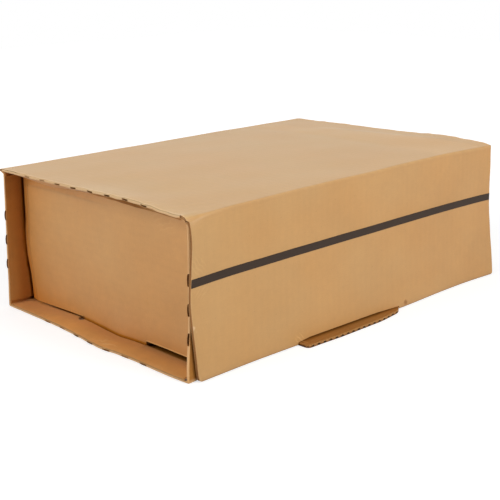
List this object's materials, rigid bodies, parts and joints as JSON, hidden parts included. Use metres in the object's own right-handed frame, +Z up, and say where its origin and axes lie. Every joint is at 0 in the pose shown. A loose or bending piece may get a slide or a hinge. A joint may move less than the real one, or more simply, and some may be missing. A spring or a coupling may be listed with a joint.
{
  "type": "cardboard shipping box",
  "caption": "Closed corrugated shipping box folded from one sheet, with recessed ends framed by pinched rims, a lapped front flap, a dark tear strip and a tab at the floor",
  "frame": {"origin": "middle of the underside, between the two end rims and between the closing flap's fold and the back wall", "axes": "+X along the box's length, +Y from the closing flap to the back wall, +Z up"},
  "size_m": [0.3629, 0.2498, 0.1223],
  "materials": {
    "board": "matt brown kraft liner",
    "strip": "matt dark brown tape"
  },
  "bodies": {
    "root": {"folded_board": "board", "tear_strip": "strip"}
  },
  "joints": []
}
